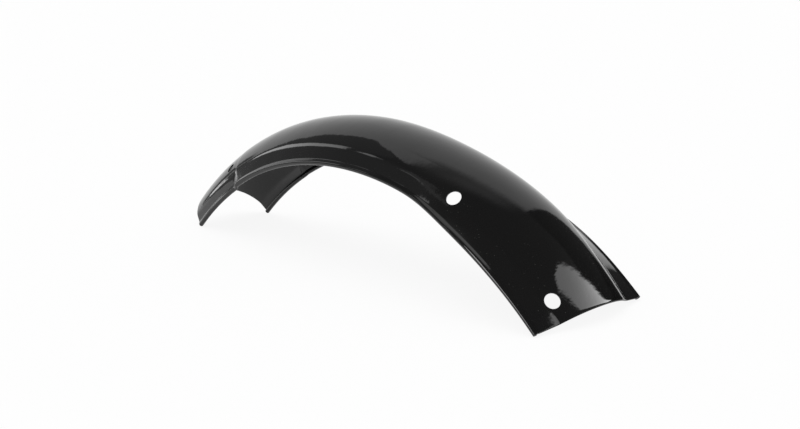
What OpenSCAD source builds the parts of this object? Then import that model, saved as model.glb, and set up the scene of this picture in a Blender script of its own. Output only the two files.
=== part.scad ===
// Moped mudguard: one sheet of steel pressed into an arch over the wheel.
// The deep end has a high crown and upright sides. Past a step the crown is
// narrower, and it grows wider and flatter towards the flared end, where the
// side strips lie almost flat. Both long edges are rolled under.
// Angles along the arch are measured from its top, positive towards the
// flared end. The axle runs along Y, and the part stands on its two ends.

/* [Arch] */
// Radius of the arch at its shoulders, where the crown meets the sides
shoulder_radius = 275; // [255:1:295]
// Angle from the top to the deep end
deep_end_angle = 45; // [41:0.1:48]
// Angle from the top to the step in the sides
step_angle = 30.2; // [28:0.1:31]
// Length of the step along the arch
step_length = 6; // [4:0.5:10]
// Angle from the top to where the side strips start to flare
flare_angle = 14.3; // [11:0.1:18]
// Angle from the top to the flared end
flared_end_angle = 46.9; // [45.5:0.1:50]
// Thickness of the sheet
sheet = 1; // [0.8:0.1:1.2]

/* [Crown] */
// Half width of the crown just past the step
half_at_step = 32.7; // [31:0.1:34]
// Half width of the crown at the top of the arch
half_at_top = 36.9; // [35:0.1:38.5]
// Half width of the crown where the strips start to flare
half_at_flare = 36.7; // [35:0.1:39]
// Half width of the crown midway along the flare
half_mid_flare = 38.9; // [37:0.1:41]
// Half width of the crown at the flared end
half_at_end = 36.1; // [34.5:0.1:40]
// Slope of the crown at its shoulder, just past the step
slope_at_step = 58.6; // [54:0.2:64]
// Slope of the crown at its shoulder, at the top of the arch
slope_at_top = 52.2; // [48:0.2:57]
// Slope of the crown at its shoulder, where the strips start to flare
slope_at_flare = 48.4; // [43:0.2:52]
// Slope of the crown at its shoulder, midway along the flare
slope_mid_flare = 48.4; // [38:0.2:50]
// Slope of the crown at its shoulder, at the flared end
slope_at_end = 28; // [24:0.2:38]

/* [Side strips] */
// Width of the strip just past the step
strip_at_step = 15; // [13:0.1:16]
// Width of the strip where it starts to flare
strip_at_flare = 14.9; // [13.5:0.1:17]
// Width of the strip at the flared end
strip_at_end = 20.8; // [18:0.1:22]
// Slope of the strip just past the step
strip_slope_at_step = 64.4; // [60:0.2:74]
// Slope of the strip where it starts to flare
strip_slope_at_flare = 69.4; // [64:0.2:76]
// Slope of the strip midway along the flare
strip_slope_mid_flare = 30.2; // [26:0.2:40]
// Slope of the strip at the flared end
strip_slope_at_end = 11.8; // [8:0.2:20]

/* [Deep end] */
// Half width of the crown on the deep side of the step
deep_half = 34.6; // [33:0.1:36]
// Slope of the crown at its shoulder there
deep_slope = 64.4; // [60:0.2:69]
// How far the shoulder drops towards the axle at the step
deep_drop = 3.7; // [2:0.1:5]
// Width of the strip there
deep_strip = 11.5; // [10.5:0.1:14]
// Slope of the strip there
deep_strip_slope = 77.8; // [73:0.2:84]

/* [Rolled edges] */
// Outer radius of the rolled edge
roll_radius = 2; // [1.8:0.1:2.4]
// How far round the edge is rolled
roll_turn = 265; // [200:5:270]
// Length of the short kick outwards just before the roll
kick_length = 2; // [1:0.5:3]
// Angle of that kick
kick_angle = 24; // [10:1:30]

/* [End lip] */
// Length of the lip turned down across the crown of the flared end
lip_length = 2; // [1.5:0.1:3]
// How far the lip turns down
lip_drop = 0.7; // [0.5:0.1:1.6]

/* [Holes] */
// Diameter of the hole near the deep end
deep_hole_d = 8; // [6:0.1:9]
// Angle from the top to the hole near the deep end
deep_hole_angle = 32.4; // [32:0.1:42]
// Offset of that hole from the middle of the crown
deep_hole_offset = 27.6; // [10:0.1:28]
// Diameter of the two stay holes
stay_hole_d = 10.7; // [8:0.1:11]
// Angle from the top to the hole across the shoulder
mid_hole_angle = 23.2; // [21:0.1:27]
// Offset of that hole from the middle of the crown
mid_hole_offset = 36.1; // [34:0.1:37]
// Angle from the top to the hole near the flared end
end_hole_angle = 43.7; // [41:0.1:44.5]
// Offset of that hole from the middle of the crown
end_hole_offset = 32.5; // [26:0.1:33]

/* [Hidden] */
paint = [0.03, 0.03, 0.035];
hole_facets = 48;

// Steps round each stretch of the section
crown_steps = 8;
bend_steps = 3;
roll_steps = 9;
// Steps along each stretch of the arch
deep_steps = 9;
joggle_steps = 6;
arch_steps = 34;
// Length of the rounded bend at the shoulder
bend_length = 4;

// Angle that a length along the shoulder covers
function arc_angle(length) = length / shoulder_radius * 180 / PI;
step_half_angle = arc_angle(step_length) / 2;

// Places along the arch where the section is given
stations = [-step_angle, 0, flare_angle, (flare_angle + flared_end_angle) / 2, flared_end_angle];
half_widths = [half_at_step, half_at_top, half_at_flare, half_mid_flare, half_at_end];
crown_slopes = [slope_at_step, slope_at_top, slope_at_flare, slope_mid_flare, slope_at_end];
strip_slopes = [
    strip_slope_at_step,
    (strip_slope_at_step + strip_slope_at_flare) / 2,
    strip_slope_at_flare,
    strip_slope_mid_flare,
    strip_slope_at_end
];
strip_widths = [
    strip_at_step,
    (strip_at_step + strip_at_flare) / 2,
    strip_at_flare,
    (strip_at_flare + strip_at_end) / 2,
    strip_at_end
];

// A smooth curve through values v at places x, without overshoot
function secant(x, v, i) = (v[i + 1] - v[i]) / (x[i + 1] - x[i]);
function tangent(x, v, i) =
    i == 0 ? secant(x, v, 0) :
    i == len(x) - 1 ? secant(x, v, i - 1) :
    let (before = secant(x, v, i - 1), after = secant(x, v, i))
    before * after <= 0 ? 0 : 2 * before * after / (before + after);
function through(x, v, at) =
    let (
        place = min(max(at, x[0]), x[len(x) - 1]),
        i = max([for (k = [0 : len(x) - 2]) if (place >= x[k]) k]),
        span = x[i + 1] - x[i],
        u = (place - x[i]) / span
    )
    (2 * pow(u, 3) - 3 * pow(u, 2) + 1) * v[i]
    + (pow(u, 3) - 2 * pow(u, 2) + u) * span * tangent(x, v, i)
    + (3 * pow(u, 2) - 2 * pow(u, 3)) * v[i + 1]
    + (pow(u, 3) - pow(u, 2)) * span * tangent(x, v, i + 1);

// 0 on the arch side of the step and 1 on its deep side
function deep_share(angle) =
    let (u = min(max((-angle - step_angle + step_half_angle) / (2 * step_half_angle), 0), 1))
    u * u * (3 - 2 * u);

// The section at an angle: half width, crown slope, shoulder radius, strip width, strip slope
function arch_section(angle) = [
    through(stations, half_widths, angle),
    through(stations, crown_slopes, angle),
    shoulder_radius,
    through(stations, strip_widths, angle),
    through(stations, strip_slopes, angle)
];
deep_section = [deep_half, deep_slope, shoulder_radius - deep_drop, deep_strip, deep_strip_slope];
function section(angle) =
    let (share = deep_share(angle))
    (1 - share) * arch_section(angle) + share * deep_section;

function crown_radius(s) = s[0] / sin(s[1]);
function apex_radius(s) = s[2] + s[0] * tan(s[1] / 2);
// Direction that leans outwards from straight up by an angle
function leaning(angle) = [sin(angle), cos(angle)];
// Height above the axle of a point on the crown, at an offset from the middle
function crown_height(s, offset) =
    apex_radius(s) - crown_radius(s) + sqrt(pow(crown_radius(s), 2) - pow(offset, 2));

// Half of the section, from the middle of the crown to the end of the roll.
// Each point is [offset, height, lean], where lean is the surface's own angle.
function half_crown(s, lip) =
    let (last = s[1] - bend_length / 2 / crown_radius(s) * 180 / PI)
    [for (i = [0 : crown_steps])
        let (lean = last * i / crown_steps)
        [
            crown_radius(s) * sin(lean),
            apex_radius(s) - crown_radius(s) * (1 - cos(lean)) - lip * cos(90 * i / crown_steps),
            lean
        ]];
function shoulder_bend(s, start) =
    let (
        corner = [s[0], s[2]],
        finish = corner + bend_length / 2 * [cos(s[4]), -sin(s[4])]
    )
    [for (i = [1 : bend_steps])
        let (
            u = i / bend_steps,
            p = pow(1 - u, 2) * [start[0], start[1]] + 2 * u * (1 - u) * corner + u * u * finish
        )
        [p[0], p[1], start[2] + (s[4] - start[2]) * u]];
function rolled_edge(s) =
    let (
        kick_start = [s[0], s[2]] + (s[3] - roll_radius - kick_length) * [cos(s[4]), -sin(s[4])],
        lean = s[4] - kick_angle,
        roll_start = kick_start + kick_length * [cos(lean), -sin(lean)],
        middle = roll_start - roll_radius * leaning(lean)
    )
    concat(
        [[kick_start[0], kick_start[1], s[4] - kick_angle / 2]],
        [for (i = [0 : roll_steps])
            let (
                turned = lean + roll_turn * i / roll_steps,
                p = middle + roll_radius * leaning(turned)
            )
            [p[0], p[1], turned]]
    );
function half_outline(s, lip) =
    let (crown = half_crown(s, lip))
    concat(crown, shoulder_bend(s, crown[crown_steps]), rolled_edge(s));

// The whole outline from one roll to the other, and its inner side
function reversed(list) = [for (i = [len(list) - 1 : -1 : 0]) list[i]];
function outline(s, lip) =
    let (half = half_outline(s, lip))
    concat(
        [for (p = reversed(half)) [-p[0], p[1], -p[2]]],
        [for (i = [1 : len(half) - 1]) half[i]]
    );
function inner_side(points) = [for (p = points) [p[0], p[1]] - sheet * leaning(p[2])];

// A section point turned to its place on the arch
function placed(p, angle) = [p[1] * sin(angle), p[0], p[1] * cos(angle)];
function ring(angle) =
    let (
        left = max(0, arc_angle(lip_length) - flared_end_angle + angle) / arc_angle(lip_length),
        points = outline(section(angle), lip_drop * left * left)
    )
    [for (p = concat(points, reversed(inner_side(points)))) placed(p, angle)];

function spread(from, to, steps) = [for (i = [0 : steps - 1]) from + (to - from) * i / steps];
ring_angles = concat(
    spread(-deep_end_angle, -step_angle - step_half_angle, deep_steps),
    spread(-step_angle - step_half_angle, -step_angle + step_half_angle, joggle_steps),
    spread(-step_angle + step_half_angle, flared_end_angle - arc_angle(lip_length), arch_steps),
    spread(flared_end_angle - arc_angle(lip_length), flared_end_angle, 2),
    [flared_end_angle]
);

// The two end sections, which give the floor and the middle of the length
deep_points = ring(-deep_end_angle);
flared_points = ring(flared_end_angle);
ground = min([for (p = concat(deep_points, flared_points)) p[2]]);
middle_x = (min([for (p = deep_points) p[0]]) + max([for (p = flared_points) p[0]])) / 2;

// The bare pressing, as one closed skin round the sheet
module pressing() {
    rings = [for (angle = ring_angles) ring(angle)];
    count = len(rings[0]);
    last = len(rings) - 1;
    side = [for (j = [0 : last - 1], i = [0 : count - 1])
        let (k = (i + 1) % count, a = j * count, b = (j + 1) * count)
        each [[a + i, a + k, b + k], [a + i, b + k, b + i]]];
    cap = [for (i = [0 : count / 2 - 2])
        let (k = count - 1 - i)
        each [[i, k - 1, i + 1], [i, k, k - 1]]];
    far_cap = [for (face = cap) [for (i = [2 : -1 : 0]) face[i] + last * count]];
    polyhedron([for (r = rings) each r], concat(side, cap, far_cap), convexity = 8);
}

// How the crown leans at a place: across the sheet, and along the arch
function lean_across(angle, offset) = asin(offset / crown_radius(section(angle)));
function lean_along(angle, offset) =
    atan((crown_height(section(angle - 0.5), offset) - crown_height(section(angle + 0.5), offset))
        / (crown_height(section(angle), offset) * PI / 180));

// A round hole, square to the crown's surface at its centre
module bolt_hole(angle, offset, d) {
    height = crown_height(section(angle), offset);
    translate([height * sin(angle), -offset, height * cos(angle)])
        rotate([0, angle + lean_along(angle, offset), 0])
            rotate([lean_across(angle, offset), 0, 0])
                cylinder(h = 12, d = d, center = true, $fn = hole_facets);
}

module mudguard() {
    color(paint)
        translate([-middle_x, 0, -ground])
            difference() {
                pressing();
                bolt_hole(-deep_hole_angle, deep_hole_offset, deep_hole_d);
                bolt_hole(mid_hole_angle, mid_hole_offset, stay_hole_d);
                bolt_hole(end_hole_angle, end_hole_offset, stay_hole_d);
            }
}

mudguard();
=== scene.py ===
# A moped mudguard: one pressed and painted sheet, standing on its two ends on a pale floor.
from math import asin, atan2, cos, degrees, pi, radians, sin, sqrt, tan

import bmesh
import bpy
from mathutils import Matrix, Vector


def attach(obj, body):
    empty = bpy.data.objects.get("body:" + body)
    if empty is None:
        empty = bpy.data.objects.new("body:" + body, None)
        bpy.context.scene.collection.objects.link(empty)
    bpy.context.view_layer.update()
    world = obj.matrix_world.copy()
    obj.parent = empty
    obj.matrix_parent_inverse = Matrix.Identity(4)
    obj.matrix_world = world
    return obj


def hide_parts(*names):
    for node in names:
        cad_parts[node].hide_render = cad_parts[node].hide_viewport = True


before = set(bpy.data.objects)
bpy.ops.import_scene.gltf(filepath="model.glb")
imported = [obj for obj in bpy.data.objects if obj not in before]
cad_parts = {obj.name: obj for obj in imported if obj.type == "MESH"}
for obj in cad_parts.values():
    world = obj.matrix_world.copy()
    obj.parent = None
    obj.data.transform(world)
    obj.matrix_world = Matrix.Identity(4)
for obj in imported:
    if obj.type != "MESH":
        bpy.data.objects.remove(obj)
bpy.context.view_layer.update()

MM = 0.001

# Arch, in metres and degrees from its top, positive towards the flared end
SHOULDER_RADIUS = 275 * MM
DEEP_END_ANGLE = 45
STEP_ANGLE = 30.2
STEP_LENGTH = 6 * MM
FLARE_ANGLE = 14.3
FLARED_END_ANGLE = 46.9
SHEET = 1 * MM
# The axle that the arch is struck from, below the floor that the part stands on
AXLE = Vector((0.195 * MM, 0, -183.18 * MM))

# The section at five places along the arch: step, top, start of the flare, midway, flared end
STATIONS = [-STEP_ANGLE, 0, FLARE_ANGLE, (FLARE_ANGLE + FLARED_END_ANGLE) / 2, FLARED_END_ANGLE]
HALF_WIDTHS = [32.7 * MM, 36.9 * MM, 36.7 * MM, 38.9 * MM, 36.1 * MM]
CROWN_SLOPES = [58.6, 52.2, 48.4, 48.4, 28]
STRIP_WIDTHS = [15 * MM, 14.95 * MM, 14.9 * MM, 17.83 * MM, 20.77 * MM]
STRIP_SLOPES = [64.4, 66.9, 69.4, 30.2, 11.8]

# The deep side of the step: half width, crown slope, shoulder radius, strip width, strip slope
DEEP_SECTION = [34.6 * MM, 64.4, SHOULDER_RADIUS - 3.7 * MM, 11.5 * MM, 77.8]

# A hair under the solid's 2 mm, so that the rounder roll stays inside its box
ROLL_RADIUS = 1.98 * MM
ROLL_TURN = 265
# The kick turns the edge outwards before the roll, and the bend rounds the shoulder
KICK_LENGTH = 2 * MM
KICK_ANGLE = 24
BEND_LENGTH = 4 * MM
LIP_LENGTH = 2 * MM
LIP_DROP = 0.7 * MM
# How close to the kick's fold the sheet is flat again
FOLD_HOLD = 0.45 * MM
# How close to each end the sheet's edge starts to round over
END_ROUNDING = 0.5 * MM

# Angle from the top, offset from the middle towards the near side, and diameter
HOLES = [(-32.4, 27.6 * MM, 8 * MM), (23.2, 36.1 * MM, 10.7 * MM), (43.7, 32.5 * MM, 10.7 * MM)]
DRILL_LENGTH = 12 * MM
DRILL_SIDES = 96

# Edges that turn more than this stay sharp
SHARP_ANGLE = 40

# How many steps each stretch is drawn in, across the sheet and along the arch
CROWN_STEPS = 14
BEND_STEPS = 4
STRIP_STEPS = 5
ROLL_STEPS = 14
DEEP_STEPS = 14
JOGGLE_STEPS = 8
ARCH_STEPS = 62
LIP_STEPS = 3

# Camera, aimed at a point above the axle
CAMERA_AZIMUTH = 45.43
CAMERA_ELEVATION = 13.17
CAMERA_ROLL = 0.16
CAMERA_TARGET = AXLE + Vector((21.6 * MM, 0, 222.5 * MM))
CAMERA_DISTANCE = 865.8 * MM
FRAME_WIDTH_PX = 800
FOCAL_LENGTH_PX = 1160.1
SENSOR_WIDTH_MM = 36

# Studio: light on all sides, the floor and its share of plain white as seen and as mirrored, and the
# room's mirrored brightness at eye level and overhead
FILL_LIGHT = 0.65
FLOOR_SIZE = 30
FLOOR_GREY = 0.9
FLOOR_ROUGHNESS = 0.9
FLOOR_WHITE = 0.9
MIRRORED_FLOOR_WHITE = 0.5
ROOM_LEVELS = (0.32, 0.16)
OVERHEAD_ENERGY = 1.2
OVERHEAD_WIDTH = 70
OVERHEAD_TILT = (8, -12, 0)

# What the gloss mirrors, the later ones in front: brightness at the bottom and at the top, width of
# the soft edges in degrees, one for all or one for each, and four corners as azimuth and elevation
PANELS = [
    # Light ceiling
    (0.42, 0.42, 14, (-180, 50), (-55, 62), (-50, 80), (150, 84)),
    # Dark corner of the room
    (0.04, 0.10, (4, 2, 12, 4), (148, -20), (-162, -20), (168, 62), (150, 57)),
    # White backdrop on the far side, and its wing
    (0.96, 0.92, (4, 2, 12, 2), (-162, -20), (-88, -20), (-88, 66), (168, 62)),
    (0.96, 0.92, (1, 4, 8, 2), (-90, 52), (-59, 56), (-60, 60), (-92, 70)),
    # Grey screen beside the backdrop, and the gap at its foot
    (0.22, 0.24, (4, 3, 1, 1), (-88, 4), (-50, 30), (-62, 55), (-88, 53)),
    (0.20, 0.20, (2, 1, 3, 2), (-97, -6), (-90, -6), (-90, 12), (-95, 12)),
    # Dark gap under the backdrop
    (0.03, 0.03, (4, 8, 4, 4), (168, -30), (-146, -17), (-170, 9), (168, 15)),
    # Two long softboxes beside the deep end
    (3.2, 3.0, 1.5, (-91, 1.5), (-79, 2.5), (-80, 5.5), (-90, 5.5)),
    (3.2, 1.8, 2, (-83, 9.5), (-54, 25.5), (-61, 36), (-82, 21)),
    # Small softbox, spot and weak strip light between these and the near side
    (1.9, 1.7, 1.5, (-51, 27), (-45.5, 26), (-46, 34), (-50, 35)),
    (1.3, 1.2, 1, (-37.9, 23.3), (-35.2, 23.3), (-35.2, 26.2), (-37.9, 26.2)),
    (0.45, 0.4, 2, (-39, 27), (-35.5, 27), (-34, 50), (-37, 51)),
    # Tall softbox on the near side
    (6.0, 6.0, 3, (-27, 2), (-8, 2), (-12, 48), (-26, 48)),
    # Large softbox beyond the flared end
    (8.0, 2.3, (2, 3, 2, 1), (95, 53), (150, 7), (164, 15), (120, 52.5))]


def arc_angle(length):
    return degrees(length / SHOULDER_RADIUS)


def through(values, angle):
    """A smooth curve through one value at each station, without overshoot."""
    x, v = STATIONS, values
    place = min(max(angle, x[0]), x[-1])
    i = max(k for k in range(len(x) - 1) if place >= x[k])
    secants = [(v[k + 1] - v[k]) / (x[k + 1] - x[k]) for k in range(len(x) - 1)]

    def tangent(k):
        if k == 0 or k == len(x) - 1:
            return secants[min(k, len(secants) - 1)]
        before, after = secants[k - 1], secants[k]
        return 0 if before * after <= 0 else 2 * before * after / (before + after)

    span = x[i + 1] - x[i]
    u = (place - x[i]) / span
    return ((2 * u**3 - 3 * u**2 + 1) * v[i] + (u**3 - 2 * u**2 + u) * span * tangent(i)
            + (3 * u**2 - 2 * u**3) * v[i + 1] + (u**3 - u**2) * span * tangent(i + 1))


def section(angle):
    """Half width, crown slope, shoulder radius, strip width and strip slope at an angle."""
    half_step = arc_angle(STEP_LENGTH) / 2
    u = min(max((-angle - STEP_ANGLE + half_step) / (2 * half_step), 0), 1)
    share = u * u * (3 - 2 * u)
    arch = [through(HALF_WIDTHS, angle), through(CROWN_SLOPES, angle), SHOULDER_RADIUS,
            through(STRIP_WIDTHS, angle), through(STRIP_SLOPES, angle)]
    return [(1 - share) * a + share * d for a, d in zip(arch, DEEP_SECTION)]


def crown_radius(s):
    return s[0] / sin(radians(s[1]))


def apex_radius(s):
    return s[2] + s[0] * tan(radians(s[1]) / 2)


def leaning(angle):
    return Vector((sin(radians(angle)), cos(radians(angle))))


def along(slope):
    return Vector((cos(radians(slope)), -sin(radians(slope))))


def half_outline(s, lip):
    """Offsets and heights of the outer surface, from the middle of the crown to the end of the roll."""
    radius, apex = crown_radius(s), apex_radius(s)
    last = s[1] - degrees(BEND_LENGTH / 2 / radius)
    points = []
    for i in range(CROWN_STEPS + 1):
        lean = radians(last * i / CROWN_STEPS)
        drop = radius * (1 - cos(lean)) + lip * cos(pi / 2 * i / CROWN_STEPS)
        points.append(Vector((radius * sin(lean), apex - drop)))
    corner = Vector((s[0], s[2]))
    start, finish = points[-1], corner + BEND_LENGTH / 2 * along(s[4])
    for i in range(1, BEND_STEPS + 1):
        u = i / BEND_STEPS
        points.append((1 - u)**2 * start + 2 * u * (1 - u) * corner + u * u * finish)
    kick_start = corner + (s[3] - ROLL_RADIUS - KICK_LENGTH) * along(s[4])
    for i in range(1, STRIP_STEPS + 1):
        points.append(finish.lerp(kick_start - FOLD_HOLD * along(s[4]), i / STRIP_STEPS))
    lean = s[4] - KICK_ANGLE
    roll_start = kick_start + KICK_LENGTH * along(lean)
    points += [kick_start, kick_start + FOLD_HOLD * along(lean), kick_start.lerp(roll_start, 0.6)]
    middle = roll_start - ROLL_RADIUS * leaning(lean)
    for i in range(ROLL_STEPS + 1):
        points.append(middle + ROLL_RADIUS * leaning(lean + ROLL_TURN * i / ROLL_STEPS))
    return points


def spread(start, stop, steps):
    return [start + (stop - start) * i / steps for i in range(steps)]


def arch_angles():
    half_step = arc_angle(STEP_LENGTH) / 2
    lip_start = FLARED_END_ANGLE - arc_angle(LIP_LENGTH)
    hold = arc_angle(END_ROUNDING)
    return ([-DEEP_END_ANGLE] + spread(-DEEP_END_ANGLE + hold, -STEP_ANGLE - half_step, DEEP_STEPS)
            + spread(-STEP_ANGLE - half_step, -STEP_ANGLE + half_step, JOGGLE_STEPS)
            + spread(-STEP_ANGLE + half_step, lip_start, ARCH_STEPS)
            + spread(lip_start, FLARED_END_ANGLE - hold, LIP_STEPS)
            + [FLARED_END_ANGLE - hold, FLARED_END_ANGLE])


def placed(offset, height, angle):
    return AXLE + Vector((height * sin(radians(angle)), offset, height * cos(radians(angle))))


def only(obj):
    """Selects one object and nothing else."""
    bpy.ops.object.select_all(action="DESELECT")
    obj.select_set(True)
    bpy.context.view_layer.objects.active = obj


def apply_modifiers(obj):
    only(obj)
    for modifier in list(obj.modifiers):
        bpy.ops.object.modifier_apply(modifier=modifier.name)


def section_wire(angle):
    """One section of the sheet's outer surface, as a wire from roll to roll."""
    lip_angle = arc_angle(LIP_LENGTH)
    lip = LIP_DROP * max(0, (angle - FLARED_END_ANGLE + lip_angle) / lip_angle)**2
    half = half_outline(section(angle), lip)
    outline = [Vector((-p.x, p.y)) for p in reversed(half)] + half[1:]
    curve = bpy.data.curves.new("section", "CURVE")
    curve.dimensions = "3D"
    spline = curve.splines.new("POLY")
    spline.points.add(len(outline) - 1)
    for point, p in zip(spline.points, outline):
        point.co = (*placed(p.x, p.y, angle), 1)
    wire = bpy.data.objects.new("section", curve)
    bpy.context.collection.objects.link(wire)
    only(wire)
    bpy.ops.object.convert(target="MESH")
    return wire


def pressed_sheet():
    """The sections joined into one skin and given the sheet's thickness."""
    wires = [section_wire(angle) for angle in arch_angles()]
    bpy.ops.object.select_all(action="DESELECT")
    for wire in wires:
        wire.select_set(True)
    bpy.context.view_layer.objects.active = wires[0]
    bpy.ops.object.join()
    sheet = bpy.context.object
    sheet.name = sheet.data.name = "mudguard_sheet"
    bpy.ops.object.mode_set(mode="EDIT")
    bpy.ops.mesh.select_all(action="SELECT")
    bpy.ops.mesh.bridge_edge_loops()
    bpy.ops.mesh.normals_make_consistent(inside=False)
    mesh = bmesh.from_edit_mesh(sheet.data)
    top = max(mesh.faces, key=lambda f: f.calc_center_median().z)
    if top.normal.z < 0:
        bpy.ops.mesh.flip_normals()
    bpy.ops.object.mode_set(mode="OBJECT")
    wall = sheet.modifiers.new("wall", "SOLIDIFY")
    wall.thickness = SHEET
    wall.offset = -1
    wall.material_offset = 1
    wall.material_offset_rim = 0
    wall.edge_crease_rim = 1
    smooth = sheet.modifiers.new("smooth", "SUBSURF")
    smooth.levels = smooth.render_levels = 1
    return sheet


def crown_height(angle, offset):
    s = section(angle)
    return apex_radius(s) - crown_radius(s) + sqrt(crown_radius(s)**2 - offset**2)


def hole_cutter(angle, offset, diameter):
    """A drill square to the crown's surface where a bolt hole goes."""
    height = crown_height(angle, offset)
    fall = crown_height(angle - 0.5, offset) - crown_height(angle + 0.5, offset)
    across = asin(offset / crown_radius(section(angle)))
    along_arch = radians(angle) + atan2(fall, height * radians(1))
    bpy.ops.mesh.primitive_cylinder_add(vertices=DRILL_SIDES, radius=diameter / 2, depth=DRILL_LENGTH)
    drill = bpy.context.object
    turn = Matrix.Rotation(along_arch, 4, "Y") @ Matrix.Rotation(across, 4, "X")
    drill.matrix_world = Matrix.Translation(placed(-offset, height, angle)) @ turn
    return drill


def drill_holes(sheet):
    for hole in HOLES:
        drill = hole_cutter(*hole)
        cut = sheet.modifiers.new("hole", "BOOLEAN")
        cut.operation = "DIFFERENCE"
        cut.solver = "EXACT"
        cut.object = drill
        apply_modifiers(sheet)
        bpy.data.objects.remove(drill)


def shader(name):
    material = bpy.data.materials.new(name)
    material.use_nodes = True
    return material, material.node_tree, material.node_tree.nodes["Principled BSDF"]


def node(tree, kind, **inputs):
    """A new node with its sockets linked or set by name; other keys are its settings."""
    new = tree.nodes.new(kind)
    for key, value in inputs.items():
        if hasattr(new, key):
            setattr(new, key, value)
    for key, value in inputs.items():
        if hasattr(new, key):
            continue
        socket = new.inputs[int(key[1:])] if key[1:].isdigit() else new.inputs[key.replace("_", " ")]
        if isinstance(value, bpy.types.NodeSocket):
            tree.links.new(value, socket)
        else:
            socket.default_value = value
    return new


def ramp(tree, value, low, high, to_low, to_high):
    """Takes a value from one range into another, with soft ends."""
    return node(tree, "ShaderNodeMapRange", interpolation_type="SMOOTHSTEP", _0=value, _1=low, _2=high,
                _3=to_low, _4=to_high).outputs["Result"]


def noise(tree, place, scale, detail=2.0, roughness=0.5):
    return node(tree, "ShaderNodeTexNoise", Vector=place, Scale=scale, Detail=detail,
                Roughness=roughness).outputs["Fac"]


def blend(tree, share, first, second):
    """Mixes two colours by a share."""
    mix = node(tree, "ShaderNodeMix", data_type="RGBA")
    tree.links.new(share, mix.inputs[0])
    for socket, value in ((mix.inputs[6], first), (mix.inputs[7], second)):
        if isinstance(value, bpy.types.NodeSocket):
            tree.links.new(value, socket)
        else:
            socket.default_value = value
    return mix.outputs[2]


def mixed(tree, share, first, second):
    """Mixes two numbers by a share."""
    return node(tree, "ShaderNodeMix", data_type="FLOAT", _0=share, _2=first, _3=second).outputs[0]


def times(tree, a, b):
    return node(tree, "ShaderNodeMath", operation="MULTIPLY", _0=a, _1=b).outputs[0]


def plus(tree, a, b):
    return node(tree, "ShaderNodeMath", operation="ADD", _0=a, _1=b).outputs[0]


def dust_specks(tree, place, spacing, size):
    """Sparse small grains that settle on a surface."""
    cells = node(tree, "ShaderNodeTexVoronoi", Vector=place, Scale=1 / spacing, Randomness=1.0)
    grain = ramp(tree, cells.outputs["Distance"], size, size * 0.5, 0.0, 1.0)
    patches = ramp(tree, noise(tree, place, 14.0), 0.48, 0.62, 0.0, 1.0)
    return times(tree, grain, patches)


def gloss_paint():
    """Deep black gloss enamel with a faint orange peel, polish marks and settled dust."""
    material, tree, principled = shader("gloss_black_paint")
    place = node(tree, "ShaderNodeTexCoord").outputs["Object"]
    tone = ramp(tree, noise(tree, place, 9.0, 3.0), 0.35, 0.65, 0.0, 1.0)
    paint = blend(tree, tone, (0.0018, 0.0018, 0.002, 1), (0.0032, 0.0031, 0.003, 1))
    dust = dust_specks(tree, place, 3.4 * MM, 0.11)
    paint = blend(tree, times(tree, dust, 0.35), paint, (0.11, 0.105, 0.1, 1))
    tree.links.new(paint, principled.inputs["Base Color"])

    along_sheet = node(tree, "ShaderNodeMapping", Vector=place, Scale=(0.12, 1.0, 0.12)).outputs["Vector"]
    polish = ramp(tree, noise(tree, along_sheet, 900.0, 2.0), 0.45, 0.75, 0.0, 0.02)
    cloudy = ramp(tree, noise(tree, place, 22.0, 3.0), 0.3, 0.7, 0.035, 0.075)
    roughness = plus(tree, plus(tree, polish, cloudy), times(tree, dust, 0.2))
    tree.links.new(roughness, principled.inputs["Roughness"])

    peel = node(tree, "ShaderNodeBump", Strength=0.09, Distance=0.3 * MM,
                Height=noise(tree, place, 320.0, 1.0)).outputs["Normal"]
    sag = node(tree, "ShaderNodeBump", Strength=0.13, Distance=2 * MM,
               Height=noise(tree, place, 42.0, 1.0), Normal=peel).outputs["Normal"]
    tree.links.new(sag, principled.inputs["Normal"])
    return material


def inner_paint():
    """The inside got one thin coat: drier, greyer and grained with overspray."""
    material, tree, principled = shader("thin_black_paint")
    place = node(tree, "ShaderNodeTexCoord").outputs["Object"]
    thin = ramp(tree, noise(tree, place, 16.0, 4.0, 0.6), 0.35, 0.7, 0.0, 1.0)
    paint = blend(tree, thin, (0.005, 0.005, 0.0052, 1), (0.012, 0.0119, 0.0117, 1))
    grain = ramp(tree, noise(tree, place, 700.0, 2.0), 0.5, 0.75, 0.0, 0.5)
    paint = blend(tree, grain, paint, (0.02, 0.0198, 0.0195, 1))
    tree.links.new(paint, principled.inputs["Base Color"])
    tree.links.new(plus(tree, ramp(tree, thin, 0.0, 1.0, 0.3, 0.42), times(tree, grain, 0.2)),
                   principled.inputs["Roughness"])
    overspray = node(tree, "ShaderNodeBump", Strength=0.12, Distance=0.2 * MM,
                     Height=noise(tree, place, 700.0, 2.0)).outputs["Normal"]
    tree.links.new(overspray, principled.inputs["Normal"])
    return material


def towards(azimuth, elevation):
    """A direction: azimuth 0 is the near side, 90 the flared end, 180 the far side."""
    a, e = radians(azimuth), radians(elevation)
    return Vector((sin(a) * cos(e), -cos(a) * cos(e), sin(e)))


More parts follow.
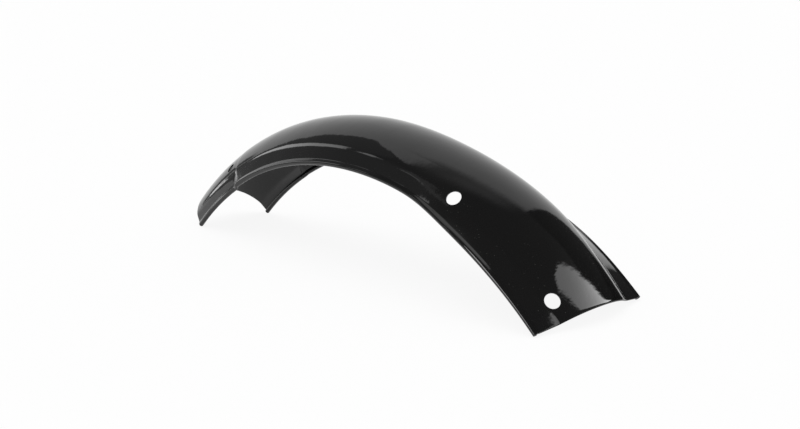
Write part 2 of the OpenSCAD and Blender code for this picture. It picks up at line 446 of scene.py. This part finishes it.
def camera():
    """The photograph's view: from between the near side and the flared end, a little above."""
    roll = radians(CAMERA_ROLL)
    back = towards(CAMERA_AZIMUTH, CAMERA_ELEVATION)
    data = bpy.data.cameras.new("camera")
    data.sensor_width = SENSOR_WIDTH_MM
    data.lens = FOCAL_LENGTH_PX / FRAME_WIDTH_PX * SENSOR_WIDTH_MM
    obj = bpy.data.objects.new("camera", data)
    bpy.context.collection.objects.link(obj)
    right = back.cross(Vector((0, 0, 1))).normalized() * -1
    up = back.cross(right)
    turned_right = cos(roll) * right + sin(roll) * up
    turned_up = -sin(roll) * right + cos(roll) * up
    obj.matrix_world = Matrix.Translation(CAMERA_TARGET + CAMERA_DISTANCE * back) @ Matrix(
        (turned_right, turned_up, back)).transposed().to_4x4()
    bpy.context.scene.camera = obj


def seen_directly(tree):
    """1 for what the camera, a mirror surface or glass sees, 0 for light that falls on things."""
    path = node(tree, "ShaderNodeLightPath").outputs
    mirrored = node(tree, "ShaderNodeMath", operation="MAXIMUM", _0=path["Is Glossy Ray"],
                    _1=path["Is Transmission Ray"]).outputs[0]
    return path["Is Camera Ray"], mirrored


def floor():
    """A plain pale floor that keeps a faint shadow."""
    bpy.ops.mesh.primitive_plane_add(size=FLOOR_SIZE)
    ground = bpy.context.object
    ground.name = "floor"
    material, tree, principled = shader("pale_floor")
    principled.inputs["Base Color"].default_value = (FLOOR_GREY, FLOOR_GREY, FLOOR_GREY, 1)
    principled.inputs["Roughness"].default_value = FLOOR_ROUGHNESS
    white = node(tree, "ShaderNodeEmission", Strength=1.0).outputs["Emission"]
    camera_ray, mirrored = seen_directly(tree)
    either = node(tree, "ShaderNodeMath", operation="MAXIMUM", _0=times(tree, camera_ray, FLOOR_WHITE),
                  _1=times(tree, mirrored, MIRRORED_FLOOR_WHITE)).outputs[0]
    mix = node(tree, "ShaderNodeMixShader", _0=either, _1=principled.outputs["BSDF"], _2=white)
    tree.links.new(mix.outputs[0], tree.nodes["Material Output"].inputs["Surface"])
    ground.data.materials.append(material)


def panel_share(tree, direction, corners, softness):
    """1 where a direction meets a flat four-cornered panel far away, 0 beside it."""
    points = [towards(*corner) for corner in corners]
    inside = None
    for k, point in enumerate(points):
        edge = point.cross(points[(k + 1) % 4]).normalized()
        if edge.dot(points[(k + 2) % 4]) < 0:
            edge.negate()
        past_edge = node(tree, "ShaderNodeVectorMath", operation="DOT_PRODUCT", _0=direction,
                         _1=edge).outputs["Value"]
        soft = sin(radians(softness[k] if isinstance(softness, tuple) else softness))
        share = ramp(tree, past_edge, -soft / 2, soft / 2, 0.0, 1.0)
        inside = share if inside is None else times(tree, inside, share)
    return inside


def studio():
    """Even light on the part; its gloss mirrors a white backdrop, softboxes and the dark room."""
    world = bpy.data.worlds.new("studio")
    world.use_nodes = True
    tree = world.node_tree
    direction = node(tree, "ShaderNodeTexCoord").outputs["Generated"]
    height = node(tree, "ShaderNodeSeparateXYZ", Vector=direction).outputs["Z"]
    level = ramp(tree, height, 0.0, 0.9, *ROOM_LEVELS)
    for low, high, softness, *corners in PANELS:
        rise = [towards(*corner).z for corner in corners]
        brightness = ramp(tree, height, min(rise), max(rise), low, high)
        share = panel_share(tree, direction, corners, softness)
        level = mixed(tree, share, level, brightness)
    camera_ray, mirrored = seen_directly(tree)
    level = mixed(tree, mirrored, FILL_LIGHT, level)
    level = mixed(tree, camera_ray, level, 1.0)
    tree.nodes["Background"].inputs["Color"].default_value = (1, 1, 1, 1)
    tree.links.new(level, tree.nodes["Background"].inputs["Strength"])
    bpy.context.scene.world = world


def overhead_light():
    """A very wide soft light from above, which draws the faint shadow."""
    lamp = bpy.data.lights.new("overhead_light", "SUN")
    lamp.angle = radians(OVERHEAD_WIDTH)
    lamp.energy = OVERHEAD_ENERGY
    obj = bpy.data.objects.new("overhead_light", lamp)
    obj.rotation_euler = [radians(tilt) for tilt in OVERHEAD_TILT]
    obj.visible_camera = obj.visible_glossy = False
    bpy.context.collection.objects.link(obj)


camera()
sheet = pressed_sheet()
apply_modifiers(sheet)
drill_holes(sheet)
sheet.data.materials.append(gloss_paint())
sheet.data.materials.append(inner_paint())
only(sheet)
bpy.ops.object.shade_smooth_by_angle(angle=radians(SHARP_ANGLE))
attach(sheet, "root")
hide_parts("mudguard")
floor()
studio()
overhead_light()
bpy.context.scene.view_settings.view_transform = "Standard"
